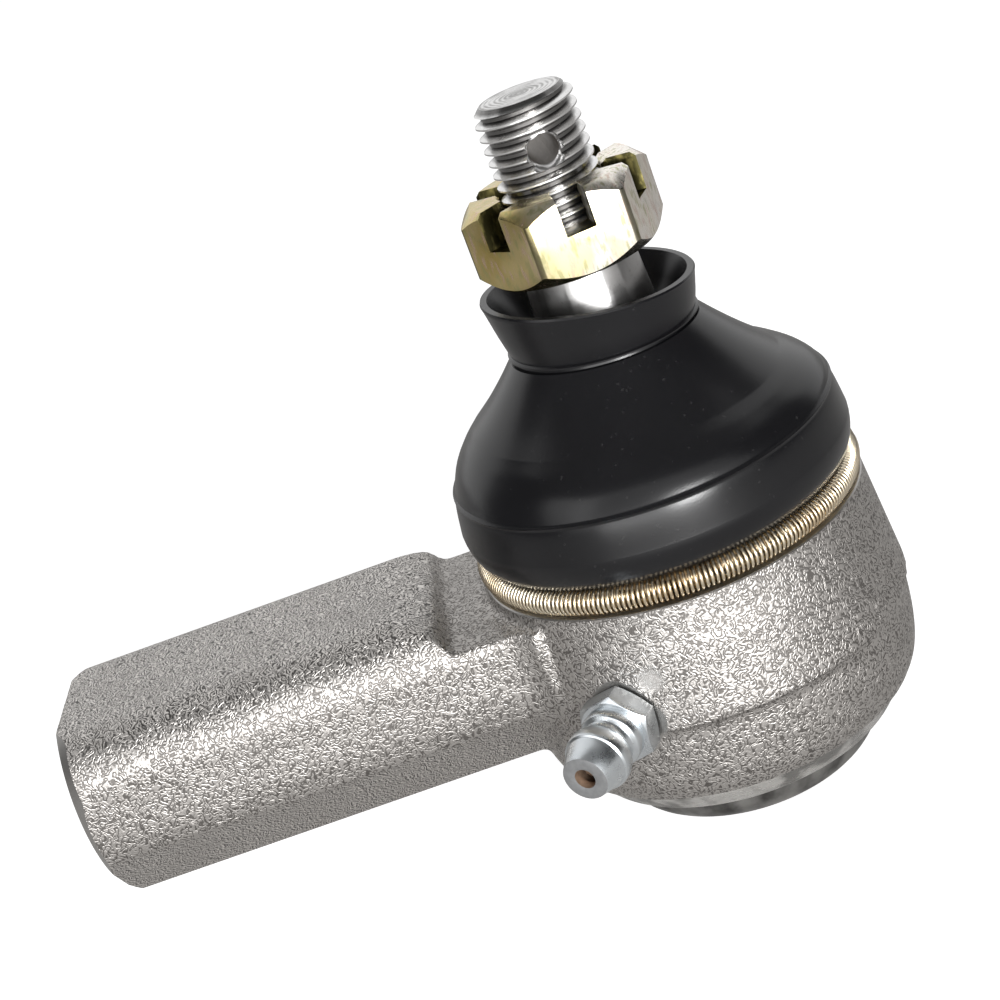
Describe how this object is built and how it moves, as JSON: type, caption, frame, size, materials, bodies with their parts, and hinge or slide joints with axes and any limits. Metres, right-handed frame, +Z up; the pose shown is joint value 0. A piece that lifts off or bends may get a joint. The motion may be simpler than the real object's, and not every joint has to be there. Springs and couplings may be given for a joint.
{
  "type": "tie rod end",
  "caption": "Ball joint for a steering tie rod: forged socket with a threaded shank, a tapered stud under a rubber boot, a slotted nut and a grease nipple.",
  "frame": {"origin": "middle of the closing plate's flat foot, on the stud's axis", "axes": "+Z up along the stud, the shank along -X, the grease nipple on the -Y side"},
  "size_m": [0.088, 0.0493, 0.0755],
  "materials": {
    "forged_steel": "as forged, fine pebbled grey skin",
    "pressed_steel": "smooth pressed steel",
    "seat_plastic": "natural acetal",
    "spring_steel": "drawn wire",
    "bright_steel": "ground and rolled, bright",
    "yellow_zinc": "yellow zinc passivated",
    "black_rubber": "satin moulded rubber",
    "garter_wire": "pale gold plated wire",
    "white_zinc": "bluish white zinc"
  },
  "bodies": {
    "housing": {"socket_housing": "forged_steel", "closing_plate": "pressed_steel", "upper_ball_seat": "seat_plastic", "preload_spring": "spring_steel", "grease_nipple": "white_zinc", "nipple_check_spring": "spring_steel"},
    "boot": {"dust_boot": "black_rubber", "garter_spring": "garter_wire"},
    "boot_neck": {"boot_neck_ring": "spring_steel"},
    "stud": {"ball_stud": "bright_steel"},
    "nut": {"castle_nut": "yellow_zinc"},
    "lower_seat": {"lower_ball_seat": "seat_plastic"},
    "check_ball": {"nipple_check_ball": "bright_steel"}
  },
  "joints": [
    {"name": "lean_direction", "type": "hinge", "parent": "housing", "child": "boot", "pos_m": [0, 0, 0.022], "axis": [0, 0, 1], "continuous": true},
    {"name": "stud_lean", "type": "hinge", "parent": "boot", "child": "boot_neck", "pos_m": [0, 0, 0.022], "axis": [0, 1, 0], "range_deg": [-20, 20], "deforming": ["dust_boot"]},
    {"name": "stud_spin", "type": "hinge", "parent": "boot_neck", "child": "stud", "pos_m": [0, 0, 0.022], "axis": [0, 0, 1], "continuous": true},
    {"name": "nut_run", "type": "slide", "parent": "stud", "child": "nut", "axis": [0, 0, 1], "range_m": [0, 0.018]},
    {"name": "seat_float", "type": "slide", "parent": "housing", "child": "lower_seat", "axis": [0, 0, 1], "range_m": [-0.0005, 0], "stiffness_N_per_m": 5000, "springref_m": 0.004, "deforming": ["preload_spring"]},
    {"name": "check_ball_lift", "type": "slide", "parent": "housing", "child": "check_ball", "axis": [0.5075, 0.8616, 0], "range_m": [0, 0.0005], "stiffness_N_per_m": 300, "springref_m": -0.002, "deforming": ["nipple_check_spring"]}
  ]
}
